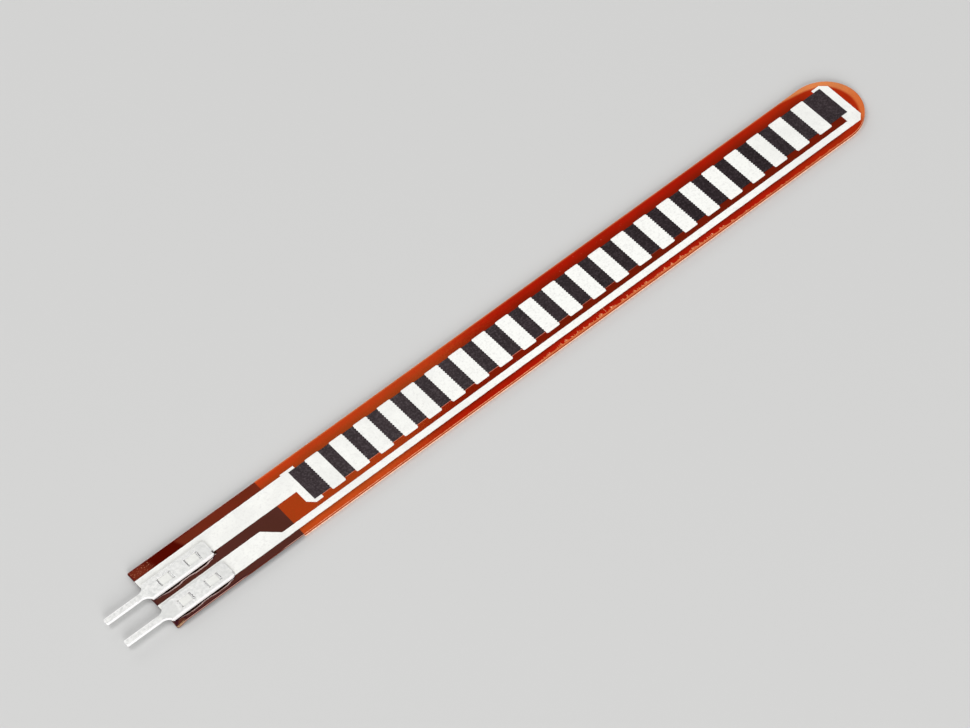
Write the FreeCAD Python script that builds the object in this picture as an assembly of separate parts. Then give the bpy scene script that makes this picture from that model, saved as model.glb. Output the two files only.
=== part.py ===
import FreeCAD, Part
import math
import os

from FreeCAD import Vector

# Short printed flex sensor, 2.2 inch class, lying flat with its printed side up.
# X runs along the strip from the pin tips (-X) to the round tip (+X), Y across it, Z up.
# The origin is the middle of the whole length and width, on the face it rests on.
# All sizes are in millimetres.

# Layer thicknesses, from the underside up: 0.43 in all at the printed pads
backing_t = 0.19
adhesive_t = 0.05
base_film_t = 0.15
silver_t = 0.02
carbon_t = 0.02

# Widths across the strip, from the -Y edge up: they add up to the film width, 6.35
return_edge_margin = 0.645
return_trace_width = 0.59
trace_to_pad_gap = 0.45
pad_overhang_low = 0.25
carbon_width = 3.27
pad_overhang_high = 0.05
far_edge_margin = 1.095

# Lengths along the strip, from the cut tail end up to the round tip: 69.88 of film
tail_to_electrode = 13.81
tail_bar_width = 0.62
first_pad_offset = 2.19
pad_pitch = 2.33
pad_count = 22
last_pad_offset = 2.45
tip_bar_width = 0.67
tip_margin = 1.21

# Films
single_film_length = 11.96
tail_corner_radius = 0.15
adhesive_setback = 0.05

# Printed electrodes and pads
electrode_overlap = 0.62
electrode_lip_low = 0.30
electrode_lip_high = 0.27
tail_chamfer = 0.55
tip_chamfer_high = 0.52
tip_chamfer_low = 0.45
feed_width = 1.94
return_pad_width = 1.81
feed_to_return_gap = 0.96
return_pad_length = 9.57
pad_width = 1.275
pad_corner_radius = 0.12
carbon_ramp = 0.06

# Crimp terminals
terminal_pitch = 2.54
terminal_edge_offset = 1.325
terminal_t = 0.20
terminal_edge_radius = 0.04
body_width = 1.60
body_inset = 0.10
body_corner_radius = 0.35
first_window_offset = 1.73
window_pitch = 2.52
window_count = 2
last_window_offset = 1.58
window_length = 1.22
window_width = 0.75
pin_width = 0.55
pin_reach = 3.78
pin_tip_chamfer = 0.08
shoulder_radius = 0.70

# Lanced tines, bent down at both ends of each window and clinched under the film
tine_width = 0.60
tine_t = 0.14
tine_tip_t = 0.07
tine_bend_radius = 0.05
tine_clinch_radius = 0.04
tine_foot_length = 0.22
slit_clearance = 0.02

# Places worked out from the sizes above
pad_length = pad_overhang_low + carbon_width + pad_overhang_high
film_width = (return_edge_margin + return_trace_width + trace_to_pad_gap
              + pad_length + far_edge_margin)
carbon_length = first_pad_offset + (pad_count - 1) * pad_pitch + last_pad_offset
film_length = tail_to_electrode + tail_bar_width + carbon_length + tip_bar_width + tip_margin
overall_length = pin_reach + film_length

tip_x = overall_length / 2
tail_x = tip_x - film_length
pin_tip_x = tail_x - pin_reach
backing_x = tail_x + single_film_length
feed_end_x = tail_x + tail_to_electrode
carbon_x0 = feed_end_x + tail_bar_width
carbon_x1 = carbon_x0 + carbon_length
return_end_x = carbon_x1 + tip_bar_width
tail_electrode_x1 = carbon_x0 + electrode_overlap
tip_electrode_x0 = carbon_x1 - electrode_overlap

edge_low_y = -film_width / 2
edge_high_y = film_width / 2
return_y0 = edge_low_y + return_edge_margin
return_y1 = return_y0 + return_trace_width
pad_y0 = return_y1 + trace_to_pad_gap
carbon_y0 = pad_y0 + pad_overhang_low
carbon_y1 = carbon_y0 + carbon_width
pad_y1 = carbon_y1 + pad_overhang_high
electrode_y0 = carbon_y0 - electrode_lip_low
electrode_y1 = carbon_y1 + electrode_lip_high
return_pad_y1 = return_y0 + return_pad_width
feed_y0 = return_pad_y1 + feed_to_return_gap
feed_y1 = feed_y0 + feed_width

adhesive_z = backing_t
film_z0 = adhesive_z + adhesive_t
film_z1 = film_z0 + base_film_t
silver_z = film_z1 + silver_t
carbon_z = film_z1 + carbon_t

body_x0 = tail_x + body_inset
body_length = first_window_offset + (window_count - 1) * window_pitch + last_window_offset
terminal_y = {
    "return_terminal": edge_low_y + terminal_edge_offset,
    "feed_terminal": edge_low_y + terminal_edge_offset + terminal_pitch,
}


def prism(points, z0, z1):
    """Upright prism over an outline of straight runs, given as (x, y) corners."""
    corners = [Vector(x, y, z0) for x, y in points]
    wire = Part.makePolygon(corners + [corners[0]])
    return Part.Face(wire).extrude(Vector(0, 0, z1 - z0))


def box(x0, x1, y0, y1, z0, z1):
    return Part.makeBox(x1 - x0, y1 - y0, z1 - z0, Vector(x0, y0, z0))


def upright_edges(shape, wanted):
    """Edges that run along Z and whose (x, y) place passes the test."""
    found = []
    for edge in shape.Edges:
        ends = [vertex.Point for vertex in edge.Vertexes]
        if len(ends) != 2:
            continue
        a, b = ends
        if abs(a.x - b.x) < 1e-7 and abs(a.y - b.y) < 1e-7 and wanted(a.x, a.y):
            found.append(edge)
    return found


def strip_outline(x0, setback):
    """Outline of the strip: straight sides, square tail at x0 and a full round tip."""
    y1 = film_width / 2 - setback
    centre_x = tip_x - film_width / 2
    tip = Part.Arc(Vector(centre_x, -y1, 0), Vector(centre_x + y1, 0, 0), Vector(centre_x, y1, 0))
    return Part.Wire([
        Part.LineSegment(Vector(x0, -y1, 0), Vector(centre_x, -y1, 0)).toShape(),
        tip.toShape(),
        Part.LineSegment(Vector(centre_x, y1, 0), Vector(x0, y1, 0)).toShape(),
        Part.LineSegment(Vector(x0, y1, 0), Vector(x0, -y1, 0)).toShape(),
    ])


def strip(x0, setback, z0, z1):
    outline = strip_outline(x0, setback)
    outline.translate(Vector(0, 0, z0))
    return Part.Face(outline).extrude(Vector(0, 0, z1 - z0))


# Terminal windows: the places of their ends, shared by plate, tines, slits and traces
def window_starts():
    first = body_x0 + first_window_offset - window_length / 2
    return [first + k * window_pitch for k in range(window_count)]


def slits(z0, z1, centre_y):
    """Slits that the tines of one terminal push through the film and its print."""
    reach = tine_bend_radius + terminal_t + slit_clearance
    half = tine_width / 2 + slit_clearance
    tools = []
    for x0 in window_starts():
        x1 = x0 + window_length
        tools.append(box(x0, x0 + reach, centre_y - half, centre_y + half, z0, z1))
        tools.append(box(x1 - reach, x1, centre_y - half, centre_y + half, z0, z1))
    return tools


def make_base_film():
    film = strip(tail_x, 0, film_z0, film_z1)
    corners = upright_edges(film, lambda x, y: abs(x - tail_x) < 1e-6)
    film = film.makeFillet(tail_corner_radius, corners)
    for centre_y in terminal_y.values():
        film = film.cut(slits(film_z0 - 1, film_z1 + 1, centre_y))
    return film


def make_adhesive():
    return strip(backing_x + adhesive_setback, adhesive_setback, adhesive_z, film_z0)


def make_backing():
    return strip(backing_x, 0, 0, adhesive_z)


def make_feed_trace():
    """Wide trace from the upper terminal into the electrode at the tail end of the carbon."""
    trace = prism([
        (tail_x, feed_y0),
        (feed_end_x, feed_y0),
        (feed_end_x, electrode_y0 + tail_chamfer),
        (feed_end_x + tail_chamfer, electrode_y0),
        (tail_electrode_x1, electrode_y0),
        (tail_electrode_x1, electrode_y1),
        (feed_end_x, electrode_y1),
        (feed_end_x, feed_y1),
        (tail_x, feed_y1),
    ], film_z1, silver_z)
    return trace.cut(slits(film_z1 - 1, silver_z + 1, terminal_y["feed_terminal"]))


def make_return_trace():
    """Pad under the lower terminal, thin trace along the edge and the electrode at the tip."""
    taper = return_pad_width - return_trace_width
    pad_end_x = tail_x + return_pad_length
    trace = prism([
        (tail_x, return_y0),
        (return_end_x - tip_chamfer_low, return_y0),
        (return_end_x, return_y0 + tip_chamfer_low),
        (return_end_x, electrode_y1 - tip_chamfer_high),
        (return_end_x - tip_chamfer_high, electrode_y1),
        (tip_electrode_x0, electrode_y1),
        (tip_electrode_x0, return_y1),
        (pad_end_x + taper, return_y1),
        (pad_end_x, return_pad_y1),
        (tail_x, return_pad_y1),
    ], film_z1, silver_z)
    return trace.cut(slits(film_z1 - 1, silver_z + 1, terminal_y["return_terminal"]))


def make_carbon():
    """Resistive strip: on the film along its length, stepping up over both electrodes."""
    over_silver = silver_z + carbon_t
    corners = [
        (carbon_x0, silver_z),
        (carbon_x0, over_silver),
        (tail_electrode_x1, over_silver),
        (tail_electrode_x1 + carbon_ramp, carbon_z),
        (tip_electrode_x0 - carbon_ramp, carbon_z),
        (tip_electrode_x0, over_silver),
        (carbon_x1, over_silver),
        (carbon_x1, silver_z),
        (tip_electrode_x0, silver_z),
        (tip_electrode_x0, film_z1),
        (tail_electrode_x1, film_z1),
        (tail_electrode_x1, silver_z),
    ]
    points = [Vector(x, carbon_y0, z) for x, z in corners]
    face = Part.Face(Part.makePolygon(points + [points[0]]))
    return face.extrude(Vector(0, carbon_width, 0))


def make_pad(centre_x):
    """Silver pad across the carbon, running down over both its edges on to the film."""
    top_z = carbon_z + silver_t
    corners = [
        (pad_y0, film_z1),
        (carbon_y0, film_z1),
        (carbon_y0, carbon_z),
        (carbon_y1, carbon_z),
        (carbon_y1, film_z1),
        (pad_y1, film_z1),
        (pad_y1, silver_z),
        (carbon_y1, top_z),
        (carbon_y0, top_z),
        (pad_y0, silver_z),
    ]
    x0 = centre_x - pad_width / 2
    points = [Vector(x0, y, z) for y, z in corners]
    face = Part.Face(Part.makePolygon(points + [points[0]]))
    section = face.extrude(Vector(pad_width, 0, 0))
    plan = box(x0, x0 + pad_width, pad_y0, pad_y1, film_z1, top_z)
    plan = plan.makeFillet(pad_corner_radius, upright_edges(plan, lambda x, y: True))
    return section.common(plan)


def terminal_plate():
    """Flat blank along X about y = 0: pin, concave shoulders and body with a rounded end."""
    half_body = body_width / 2
    half_pin = pin_width / 2
    rise = half_body - half_pin
    turn = math.acos(1 - rise / shoulder_radius)
    shoulder_x = body_x0 - shoulder_radius * math.sin(turn)
    middle = turn / 2
    middle_x = shoulder_x + shoulder_radius * math.sin(middle)
    middle_y = half_pin + shoulder_radius * (1 - math.cos(middle))
    body_x1 = body_x0 + body_length
    z = silver_z

    def line(x0, y0, x1, y1):
        return Part.LineSegment(Vector(x0, y0, z), Vector(x1, y1, z)).toShape()

    def arc(x0, y0, xm, ym, x1, y1):
        return Part.Arc(Vector(x0, y0, z), Vector(xm, ym, z), Vector(x1, y1, z)).toShape()

    r = body_corner_radius
    k = r * (1 - math.sqrt(0.5))
    c = pin_tip_chamfer
    upper = [
        line(pin_tip_x, 0, pin_tip_x, half_pin - c),
        line(pin_tip_x, half_pin - c, pin_tip_x + c, half_pin),
        line(pin_tip_x + c, half_pin, shoulder_x, half_pin),
        arc(shoulder_x, half_pin, middle_x, middle_y, body_x0, half_body),
        line(body_x0, half_body, body_x1 - r, half_body),
        arc(body_x1 - r, half_body, body_x1 - k, half_body - k, body_x1, half_body - r),
        line(body_x1, half_body - r, body_x1, 0),
    ]
    half_wire = Part.Wire(upper)
    other_half = half_wire.mirror(Vector(0, 0, z), Vector(0, 1, 0))
    outline = Part.Wire(Part.__sortEdges__(half_wire.Edges + other_half.Edges))
    plate = Part.Face(outline).extrude(Vector(0, 0, terminal_t))
    top = [edge for edge in plate.Edges
           if all(abs(v.Z - z - terminal_t) < 1e-7 for v in edge.Vertexes)]
    plate = plate.makeFillet(terminal_edge_radius, top)
    for x0 in window_starts():
        half = window_width / 2
        plate = plate.cut(box(x0, x0 + window_length, -half, half, z - 1, z + 1))
    return plate


def tine(x0, direction):
    """One lanced tine of a window: bent down at x0, through the film and back under it."""
    z0 = silver_z
    z1 = z0 + terminal_t
    r = tine_bend_radius
    big_r = r + terminal_t
    bend_z = z0 - r
    inner = r + tine_t
    clinch_z = film_z0 + tine_clinch_radius
    clinch_u = inner + tine_clinch_radius
    clinch_r = tine_clinch_radius + tine_t
    foot_u = clinch_u + tine_foot_length
    diagonal = math.sqrt(0.5)

    def at(u, z):
        return Vector(x0 + direction * u, -tine_width / 2, z)

    root = -terminal_t / 2
    edges = [
        Part.LineSegment(at(root, z1), at(0, z1)),
        Part.Arc(at(0, z1), at(big_r * diagonal, bend_z + big_r * diagonal), at(big_r, bend_z)),
        Part.LineSegment(at(big_r, bend_z), at(inner, clinch_z)),
        Part.Arc(at(inner, clinch_z),
                 at(clinch_u - tine_clinch_radius * diagonal, clinch_z - tine_clinch_radius * diagonal),
                 at(clinch_u, film_z0)),
        Part.LineSegment(at(clinch_u, film_z0), at(foot_u, film_z0)),
        Part.LineSegment(at(foot_u, film_z0), at(foot_u, film_z0 - tine_tip_t)),
        Part.LineSegment(at(foot_u, film_z0 - tine_tip_t), at(clinch_u, film_z0 - tine_t)),
        Part.Arc(at(clinch_u, film_z0 - tine_t),
                 at(clinch_u - clinch_r * diagonal, clinch_z - clinch_r * diagonal),
                 at(r, clinch_z)),
        Part.LineSegment(at(r, clinch_z), at(r, bend_z)),
        Part.Arc(at(r, bend_z), at(r * diagonal, bend_z + r * diagonal), at(0, z0)),
        Part.LineSegment(at(0, z0), at(root, z0)),
        Part.LineSegment(at(root, z0), at(root, z1)),
    ]
    face = Part.Face(Part.Wire([edge.toShape() for edge in edges]))
    return face.extrude(Vector(0, tine_width, 0))


def make_terminal(centre_y):
    tines = []
    for x0 in window_starts():
        tines.append(tine(x0, 1))
        tines.append(tine(x0 + window_length, -1))
    terminal = terminal_plate().fuse(tines).removeSplitter()
    terminal.translate(Vector(0, centre_y, 0))
    return terminal


parts = {
    "backing_film": make_backing(),
    "adhesive_layer": make_adhesive(),
    "base_film": make_base_film(),
    "feed_trace": make_feed_trace(),
    "return_trace": make_return_trace(),
    "carbon_strip": make_carbon(),
}
for name, centre_y in terminal_y.items():
    parts[name] = make_terminal(centre_y)
for number in range(pad_count):
    centre_x = carbon_x0 + first_pad_offset + number * pad_pitch
    parts["silver_pad_%02d" % (number + 1)] = make_pad(centre_x)

os.makedirs("parts", exist_ok=True)
for name, shape in parts.items():
    solids = shape.Solids
    if len(solids) != 1 or not shape.isValid():
        raise RuntimeError("%s: %d solids, valid %s" % (name, len(solids), shape.isValid()))
    solids[0].exportStep("parts/%s.step" % name)
print("pieces", len(parts), "overall length %.2f, film width %.2f" % (overall_length, film_width))
print("thickness at the pads %.2f, at the terminals %.2f"
      % (carbon_z + silver_t, silver_z + terminal_t))
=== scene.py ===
import bpy
import math
import random
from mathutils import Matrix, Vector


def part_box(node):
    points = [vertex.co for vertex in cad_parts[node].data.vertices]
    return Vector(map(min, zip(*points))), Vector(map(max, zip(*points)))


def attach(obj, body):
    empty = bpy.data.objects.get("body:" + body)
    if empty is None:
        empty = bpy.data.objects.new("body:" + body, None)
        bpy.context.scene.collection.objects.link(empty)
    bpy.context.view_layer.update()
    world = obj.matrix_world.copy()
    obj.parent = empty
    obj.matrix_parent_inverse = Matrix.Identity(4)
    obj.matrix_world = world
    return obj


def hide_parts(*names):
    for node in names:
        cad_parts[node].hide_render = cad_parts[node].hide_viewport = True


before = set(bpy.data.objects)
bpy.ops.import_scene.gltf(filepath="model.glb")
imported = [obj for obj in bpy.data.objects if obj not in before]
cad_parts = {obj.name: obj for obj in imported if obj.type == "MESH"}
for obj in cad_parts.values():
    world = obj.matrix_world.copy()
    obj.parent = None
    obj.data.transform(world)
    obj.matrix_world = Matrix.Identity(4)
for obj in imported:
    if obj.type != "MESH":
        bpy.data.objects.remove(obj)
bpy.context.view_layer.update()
random.seed(22)

# Pieces are modelled in millimetres and brought back to metres when each is finished
mm = 1000.0
mergeGap = 0.0008
flatAngle = 0.6
smoothAngle = 35


def nodeBox(name):
    low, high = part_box(name)
    return [v * mm for v in low], [v * mm for v in high]


def deselectAll():
    if bpy.context.mode != "OBJECT":
        bpy.ops.object.mode_set(mode="OBJECT")
    bpy.ops.object.select_all(action="DESELECT")


def pick(piece):
    deselectAll()
    piece.select_set(True)
    bpy.context.view_layer.objects.active = piece


def editMode(piece):
    pick(piece)
    bpy.ops.object.mode_set(mode="EDIT")


def selectVertices(piece, wanted):
    # Ends in edit mode, with only the vertices that pass the test selected
    bpy.ops.object.mode_set(mode="EDIT")
    bpy.ops.mesh.select_mode(type="VERT")
    bpy.ops.mesh.select_all(action="DESELECT")
    bpy.ops.object.mode_set(mode="OBJECT")
    count = 0
    for vertex in piece.data.vertices:
        vertex.select = bool(wanted(vertex.co))
        count += vertex.select
    bpy.ops.object.mode_set(mode="EDIT")
    return count


def selectEdges(piece, wanted):
    bpy.ops.object.mode_set(mode="EDIT")
    bpy.ops.mesh.select_mode(type="EDGE")
    bpy.ops.mesh.select_all(action="DESELECT")
    bpy.ops.object.mode_set(mode="OBJECT")
    count = 0
    points = piece.data.vertices
    for edge in piece.data.edges:
        a, b = (points[k].co for k in edge.vertices)
        edge.select = bool(wanted(a, b))
        count += edge.select
    bpy.ops.object.mode_set(mode="EDIT")
    return count


def cadCopy(node, name):
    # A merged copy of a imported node, ready to be worked on in millimetres
    piece = bpy.data.objects.new(name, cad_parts[node].data.copy())
    bpy.context.collection.objects.link(piece)
    piece.data.materials.clear()
    pick(piece)
    bpy.ops.mesh.customdata_custom_splitnormals_clear()
    piece.scale = (mm, mm, mm)
    bpy.ops.object.transform_apply(location=False, rotation=False, scale=True)
    bpy.ops.object.mode_set(mode="EDIT")
    bpy.ops.mesh.select_all(action="SELECT")
    bpy.ops.mesh.remove_doubles(threshold=mergeGap)
    bpy.ops.mesh.dissolve_limited(angle_limit=math.radians(flatAngle))
    bpy.ops.mesh.normals_make_consistent(inside=False)
    bpy.ops.object.mode_set(mode="OBJECT")
    return piece


def finishPiece(piece, node, material):
    pick(piece)
    piece.scale = (1 / mm, 1 / mm, 1 / mm)
    bpy.ops.object.transform_apply(location=True, rotation=True, scale=True)
    bpy.ops.object.shade_smooth_by_angle(angle=math.radians(smoothAngle))
    weighted = piece.modifiers.new("evenNormals", "WEIGHTED_NORMAL")
    weighted.keep_sharp = True
    bpy.ops.object.modifier_apply(modifier=weighted.name)
    piece.data.materials.clear()
    piece.data.materials.append(material)
    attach(piece, "root")
    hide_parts(node)


# Camera, floor and light

studio = {
    "cameraPlace": (-0.103687, -0.166778, 0.262651),
    "cameraTurn": (36.2770, 5.7869, -39.4040),
    "cameraLens": 159.588,
    "floorColour": (0.60, 0.60, 0.595, 1),
    "worldLight": 0.50,
    "keyPlace": (-0.34, 0.36, 0.95),
    "keySize": 0.6,
    "keyPower": 3.3,
    "backPlace": (0.10, 1.15, 0.42),
    "backSize": (1.2, 0.36),
    "backPower": 3.0,
    "fillPlace": (-0.45, -0.85, 0.42),
    "fillSize": 0.5,
    "fillPower": 8.5,
    "cardPlace": (0.2823, 0.6687, 1.0),
    "cardSize": (0.24, 0.16),
    "cardTurn": 38.1,
    "cardPower": 0.235,
}


def addLamp(name, place, size, power, colour=(1, 1, 1)):
    lamp = bpy.data.objects.new(name, bpy.data.lights.new(name, "AREA"))
    bpy.context.collection.objects.link(lamp)
    lamp.data.shape = "RECTANGLE"
    lamp.data.size, lamp.data.size_y = size if isinstance(size, tuple) else (size, size)
    lamp.data.energy = power
    lamp.data.color = colour
    lamp.location = place
    # Turned towards the part, which lies at the origin
    lamp.rotation_euler = (-lamp.location).to_track_quat("-Z", "Y").to_euler()
    return lamp


def buildStudio(s):
    camera = bpy.data.objects.new("photoCamera", bpy.data.cameras.new("photoCamera"))
    bpy.context.collection.objects.link(camera)
    camera.location = s["cameraPlace"]
    camera.rotation_euler = [math.radians(a) for a in s["cameraTurn"]]
    camera.data.lens = s["cameraLens"]
    camera.data.sensor_width = 36
    camera.data.clip_start = 0.01
    camera.data.clip_end = 20
    bpy.context.scene.camera = camera

    deselectAll()
    bpy.ops.mesh.primitive_plane_add(size=6, location=(0, 0, 0))
    floor = bpy.context.object
    floor.name = "paleFloor"
    material = bpy.data.materials.new("paleFloor")
    material.use_nodes = True
    shader = material.node_tree.nodes["Principled BSDF"]
    shader.inputs["Base Color"].default_value = s["floorColour"]
    shader.inputs["Roughness"].default_value = 0.9
    shader.inputs["Specular IOR Level"].default_value = 0.1
    floor.data.materials.append(material)

    addLamp("keyLamp", s["keyPlace"], s["keySize"], s["keyPower"])
    addLamp("backLamp", s["backPlace"], s["backSize"], s["backPower"])
    addLamp("fillLamp", s["fillPlace"], s["fillSize"], s["fillPower"])
    # The pale card hangs level, and its mirror image warms the tail half of the film
    card = addLamp("cardLamp", s["cardPlace"], s["cardSize"], s["cardPower"], (1, 0.95, 0.78))
    card.rotation_euler = (0, 0, math.radians(s["cardTurn"]))

    world = bpy.data.worlds.new("softSky")
    bpy.context.scene.world = world
    world.use_nodes = True
    background = world.node_tree.nodes["Background"]
    background.inputs["Color"].default_value = (1, 1, 1, 1)
    background.inputs["Strength"].default_value = s["worldLight"]
    bpy.context.scene.view_settings.view_transform = "Standard"


buildStudio(studio)
print("studio ready")


# Shader helpers and shared groups

def newMaterial(name, **sockets):
    material = bpy.data.materials.new(name)
    material.use_nodes = True
    tree = material.node_tree
    shader = tree.nodes["Principled BSDF"]
    for socket, value in sockets.items():
        shader.inputs[socket.replace("_", " ")].default_value = value
    return material, tree, shader


def mathNode(tree, operation, a, b=None, c=None):
    node = tree.nodes.new("ShaderNodeMath")
    node.operation = operation
    for k, value in enumerate((a, b, c)):
        if value is None:
            continue
        if isinstance(value, (int, float)):
            node.inputs[k].default_value = value
        else:
            tree.links.new(value, node.inputs[k])
    return node.outputs[0]


def mixColour(tree, factor, a, b, blend="MIX"):
    node = tree.nodes.new("ShaderNodeMix")
    node.data_type = "RGBA"
    node.blend_type = blend
    colourInputs = [s for s in node.inputs if s.type == "RGBA"]
    for socket, value in ((node.inputs[0], factor), (colourInputs[0], a), (colourInputs[1], b)):
        if isinstance(value, (int, float)):
            socket.default_value = value
        elif isinstance(value, tuple):
            socket.default_value = (*value, 1)
        else:
            tree.links.new(value, socket)
    return [s for s in node.outputs if s.type == "RGBA"][0]


def ramp(tree, value, low, high, lowOut=0.0, highOut=1.0, smooth=True):
    node = tree.nodes.new("ShaderNodeMapRange")
    node.interpolation_type = "SMOOTHSTEP" if smooth else "LINEAR"
    tree.links.new(value, node.inputs["Value"])
    for name, number in (("From Min", low), ("From Max", high), ("To Min", lowOut), ("To Max", highOut)):
        node.inputs[name].default_value = number
    return node.outputs["Result"]


def newGroup(name, inputs, outputs):
    group = bpy.data.node_groups.new(name, "ShaderNodeTree")
    for title, kind, value in inputs:
        socket = group.interface.new_socket(name=title, in_out="INPUT", socket_type=kind)
        socket.default_value = value
    for title, kind in outputs:
        group.interface.new_socket(name=title, in_out="OUTPUT", socket_type=kind)
    start = group.nodes.new("NodeGroupInput")
    end = group.nodes.new("NodeGroupOutput")
    return group, start, end


def placeInMm(group):
    # Object coordinates counted in millimetres
    where = group.nodes.new("ShaderNodeTexCoord")
    scaled = group.nodes.new("ShaderNodeVectorMath")
    scaled.operation = "SCALE"
    scaled.inputs["Scale"].default_value = mm
    group.links.new(where.outputs["Object"], scaled.inputs[0])
    return scaled.outputs["Vector"]


def buildGrainGroup():
    # Fine speckle with broader cloudiness: the tooth of printed ink and of film
    group, start, end = newGroup(
        "inkGrain",
        [("Fine", "NodeSocketFloat", 12.0), ("Broad", "NodeSocketFloat", 0.8)],
        [("Speckle", "NodeSocketFloat"), ("Cloud", "NodeSocketFloat")])
    place = placeInMm(group)
    for size, output, detail in (("Fine", "Speckle", 3.0), ("Broad", "Cloud", 2.0)):
        noise = group.nodes.new("ShaderNodeTexNoise")
        noise.inputs["Detail"].default_value = detail
        noise.inputs["Roughness"].default_value = 0.6
        group.links.new(place, noise.inputs["Vector"])
        group.links.new(start.outputs[size], noise.inputs["Scale"])
        group.links.new(noise.outputs["Fac"], end.inputs[output])
    return group


def buildMeshPrintGroup():
    # The cross-hatch that a screen's mesh leaves in ink
    group, start, end = newGroup(
        "screenMesh",
        [("Pitch", "NodeSocketFloat", 0.25), ("Turn", "NodeSocketFloat", 0.4)],
        [("Height", "NodeSocketFloat")])
    place = placeInMm(group)
    turned = group.nodes.new("ShaderNodeVectorRotate")
    turned.rotation_type = "Z_AXIS"
    group.links.new(place, turned.inputs["Vector"])
    group.links.new(start.outputs["Turn"], turned.inputs["Angle"])
    parts = group.nodes.new("ShaderNodeSeparateXYZ")
    group.links.new(turned.outputs["Vector"], parts.inputs[0])
    waves = []
    for axis in ("X", "Y"):
        turns = mathNode(group, "DIVIDE", parts.outputs[axis], start.outputs["Pitch"])
        waves.append(mathNode(group, "SINE", mathNode(group, "MULTIPLY", turns, 2 * math.pi)))
    both = mathNode(group, "MULTIPLY", waves[0], waves[1])
    group.links.new(mathNode(group, "MULTIPLY_ADD", both, 0.5, 0.5), end.inputs["Height"])
    return group


def buildCutEdgeGroup():
    # Tells a sheet's rounded rim, its upright cut wall and the sides that face -Y from its broad faces
    group, start, end = newGroup(
        "cutEdge", [("Softness", "NodeSocketFloat", 0.12)],
        [("Rim", "NodeSocketFloat"), ("Wall", "NodeSocketFloat"), ("Near", "NodeSocketFloat")])
    shape = group.nodes.new("ShaderNodeNewGeometry")
    parts = group.nodes.new("ShaderNodeSeparateXYZ")
    group.links.new(shape.outputs["Normal"], parts.inputs[0])
    lean = mathNode(group, "ABSOLUTE", parts.outputs["Z"])
    for output, level in (("Rim", 0.93), ("Wall", 0.34)):
        node = group.nodes.new("ShaderNodeMapRange")
        node.interpolation_type = "SMOOTHSTEP"
        group.links.new(lean, node.inputs["Value"])
        node.inputs["From Min"].default_value = level
        lower = mathNode(group, "SUBTRACT", level, start.outputs["Softness"])
        group.links.new(lower, node.inputs["From Max"])
        group.links.new(node.outputs["Result"], end.inputs[output])
    group.links.new(ramp(group, parts.outputs["Y"], 0.1, -0.1), end.inputs["Near"])
    return group


inkGrain = buildGrainGroup()
screenMesh = buildMeshPrintGroup()
cutEdge = buildCutEdgeGroup()


def useGroup(tree, group, **values):
    node = tree.nodes.new("ShaderNodeGroup")
    node.node_tree = group
    for name, value in values.items():
        node.inputs[name].default_value = value
    return node


def addBump(tree, shader, height, distance, strength=1.0):
    bump = tree.nodes.new("ShaderNodeBump")
    bump.inputs["Distance"].default_value = distance / mm
    bump.inputs["Strength"].default_value = strength
    tree.links.new(height, bump.inputs["Height"])
    tree.links.new(bump.outputs["Normal"], shader.inputs["Normal"])


# Finishes

filmLook = {
    "double": (0.36, 0.0, 0.0),
    "doubleTail": (0.39, 0.024, 0.004),
    "doubleTip": (0.37, 0.012, 0.0005),
    "lane": (0.120, 0.0004, 0.0),
    "single": (0.038, 0.0065, 0.013),
    "singleFar": (0.105, 0.0040, 0.0050),
    "singlePatch": (0.074, 0.0030, 0.0008),
    "tip": (0.65, 0.200, 0.065),
    "tipNear": (0.59, 0.130, 0.033),
    "lipHighlight": (1.0, 0.80, 0.76),
    "hollowShade": (0.010, 0.0030, 0.0020),
    "corner": (0.36, 0.23, 0.13),
    "rim": (0.92, 0.42, 0.25),
    "rimDark": (0.62, 0.17, 0.065),
    "rimFar": (0.66, 0.19, 0.075),
    "wall": (0.44, 0.088, 0.028),
    "fray": (0.54, 0.115, 0.032),
    "fleck": (1.0, 0.52, 0.30),
    "printEdgeHighlight": (0.62, 0.20, 0.14),
    "singleRim": (0.46, 0.27, 0.22),
    "singleRimFar": (0.27, 0.065, 0.035),
    "singleWall": (0.10, 0.018, 0.008),
    "endWall": (0.035, 0.007, 0.004),
    "tint": (1.0, 0.33, 0.0),
    "shineDouble": 0.60,
    "shineSingle": 0.22,
    "roughness": (0.035, 0.065),
}

# Where the film changes along X or across Y, in millimetres from the part's origin
filmPlaces = {
    "farStrip": (2.15, 2.25),
    "nearStrip": (-2.50, -2.56),
    "lane": (-1.95, 0.3),
    "laneDarker": (-12, 6),
    "tailWarmer": (-4, -12),
    "tipWarmer": (22, 36),
    "padShade": (2.0, 2.02),
    "padShadeEnds": (2.05, 2.95),
    "traceShade": (-2.0, -2.02),
    "traceShadeEnds": (-2.90, -2.50),
    "tipCentre": (0.60, 0.06, 0.36),        # along, and across at the line and at the crescent
    "tipSoft": 0.14,
    "crescentStarts": (31.4, 33.7),
    "crescentThins": (34.3, 35.8),
    "crescentSide": (-3.1, -2.2),
    "crescentPaler": (-0.9, 1.4),
    "printLineEnds": (0, 22),
    "patchSlope": 0.45,
    "patchTail": (-31.95, -30.9),
    "patchFront": (-28.75, -28.35),
    "burrs": (4, 19),
    "fewBurrs": (19, 33),
    "burrHeight": (0.25, 0.08),             # of the peaks, and of the ground that they stand on
    "hair": (8.49, 8.52),
    "hairAcross": (-2.98, -2.54),
    "farFlecks": (9, 15),
    "tailFlecksEnd": -31.6,
    "lipFades": (-32.6, -30.8),
    "plainRim": (15, 24),
    "plainRimEnds": (32.3, 33.8),
    "frayedRim": (4, 17),
    "shadedRim": (-26.3, -23.4),
    "cornerReach": (-32.15, -32.65),
}


def bandMask(tree, value, low, high, soft):
    # 1 between two values, falling away over the soft width at both ends
    rising = ramp(tree, value, low - soft, low)
    falling = ramp(tree, value, high, high + soft, 1, 0)
    return mathNode(tree, "MULTIPLY", rising, falling)


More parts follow.
